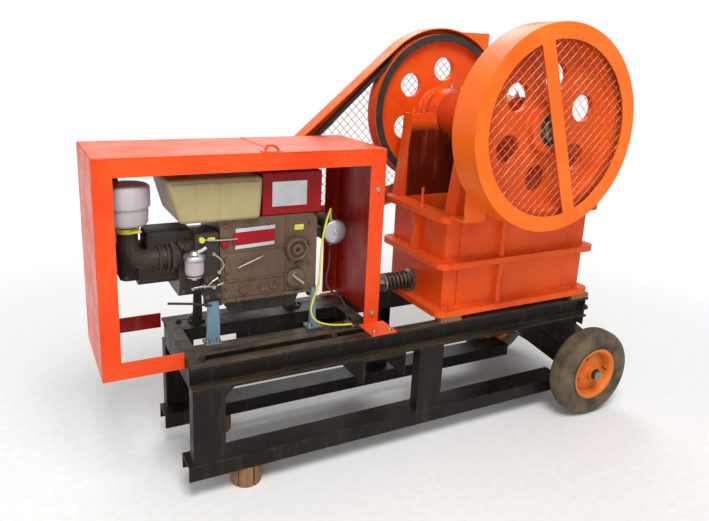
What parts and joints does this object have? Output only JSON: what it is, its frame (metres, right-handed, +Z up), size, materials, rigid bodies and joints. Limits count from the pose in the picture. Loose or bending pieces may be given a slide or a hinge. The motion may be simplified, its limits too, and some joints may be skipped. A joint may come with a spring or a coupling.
{
  "type": "wheeled jaw crusher",
  "caption": "Wheeled jaw crusher with two guarded flywheels, driven by belts from a diesel engine in an open box on a skid frame.",
  "frame": {"origin": "on the ground, at the middle of the machine's length and width", "axes": "+X from the engine to the jaw and the wheels, +Y to the belt side, +Z up"},
  "size_m": [2.257, 0.847, 1.69],
  "materials": {
    "black_paint": "worn gloss",
    "orange_guard": "gloss",
    "red_jaw": "gloss",
    "orange_box": "gloss",
    "cast_steel": "worn",
    "bright_steel": "satin",
    "steel_sheet": "dusty",
    "wire": "dull",
    "rubber": "matt",
    "tyre": "dusty",
    "orange_rim": "gloss",
    "wood": "raw",
    "engine_iron": "painted",
    "tank_green": "satin",
    "hopper_red": "gloss",
    "silver": "satin",
    "blue_paint": "worn",
    "pipe_black": "heat worn",
    "cable_yellow": "satin"
  },
  "bodies": {
    "machine": {"top_rails": "black_paint", "cross_members": "black_paint", "engine_bearers": "black_paint", "under_beam": "black_paint", "skids": "black_paint", "legs": "black_paint", "support_blocks": "wood", "axle": "bright_steel", "axle_brackets": "black_paint", "jaw_side_near": "red_jaw", "jaw_side_far": "red_jaw", "jaw_front_wall": "red_jaw", "jaw_rear_wall": "red_jaw", "base_pads": "wood", "top_plate": "red_jaw", "bearing_housings": "red_jaw", "cheek_plates": "red_jaw", "fixed_jaw_plate": "cast_steel", "toggle_block": "cast_steel", "toggle_plate": "cast_steel", "tension_rod": "bright_steel", "tension_spring": "bright_steel", "drive_belts": "rubber", "guard_round": "orange_guard", "guard_round_mesh": "wire", "guard_belt_mesh": "wire", "guard_belt": "orange_guard", "guard_stays": "orange_guard", "engine_block": "engine_iron", "cylinder_head": "engine_iron", "engine_sump": "engine_iron", "engine_feet": "blue_paint", "fuel_tank": "tank_green", "water_hopper": "hopper_red", "air_filter": "silver", "exhaust_muffler": "silver", "generator": "silver", "fuel_filter": "silver", "engine_pipes": "pipe_black", "yellow_cable": "cable_yellow", "black_cable": "rubber", "cable_studs": "bright_steel", "box_frame": "orange_box", "box_feet": "orange_box", "box_roof": "orange_box", "box_walls": "orange_box", "apron_plate": "steel_sheet", "discharge_chute": "steel_sheet"},
    "crusher_rotor": {"eccentric_shaft": "bright_steel", "flywheel_near": "red_jaw", "flywheel_far": "red_jaw"},
    "engine_rotor": {"engine_pulley": "cast_steel", "engine_flywheel": "engine_iron"},
    "swing_jaw_body": {"swing_jaw": "red_jaw", "swing_jaw_plate": "cast_steel"},
    "wheel_near": {"tyre_near": "tyre", "rim_near": "orange_rim"},
    "wheel_far": {"tyre_far": "tyre", "rim_far": "orange_rim"}
  },
  "joints": [
    {"name": "crusher_spin", "type": "hinge", "parent": "machine", "child": "crusher_rotor", "pos_m": [0.4435, 0.0335, 1.31], "axis": [0, 1, 0], "continuous": true},
    {"name": "engine_spin", "type": "hinge", "parent": "machine", "child": "engine_rotor", "pos_m": [-0.4515, 0.2335, 0.842], "axis": [0, 1, 0], "continuous": true},
    {"name": "jaw_swing", "type": "hinge", "parent": "machine", "child": "swing_jaw_body", "pos_m": [0.4435, 0.0335, 1.31], "axis": [0, 1, 0], "range_deg": [-1.2, 0]},
    {"name": "wheel_near_spin", "type": "hinge", "parent": "machine", "child": "wheel_near", "pos_m": [0.9245, -0.2945, 0.2], "axis": [0, 1, 0], "continuous": true},
    {"name": "wheel_far_spin", "type": "hinge", "parent": "machine", "child": "wheel_far", "pos_m": [0.9245, 0.3615, 0.2], "axis": [0, 1, 0], "continuous": true}
  ],
  "couplings": [
    {"joint": "engine_spin", "follows": "crusher_spin", "ratio": 4.6695}
  ]
}
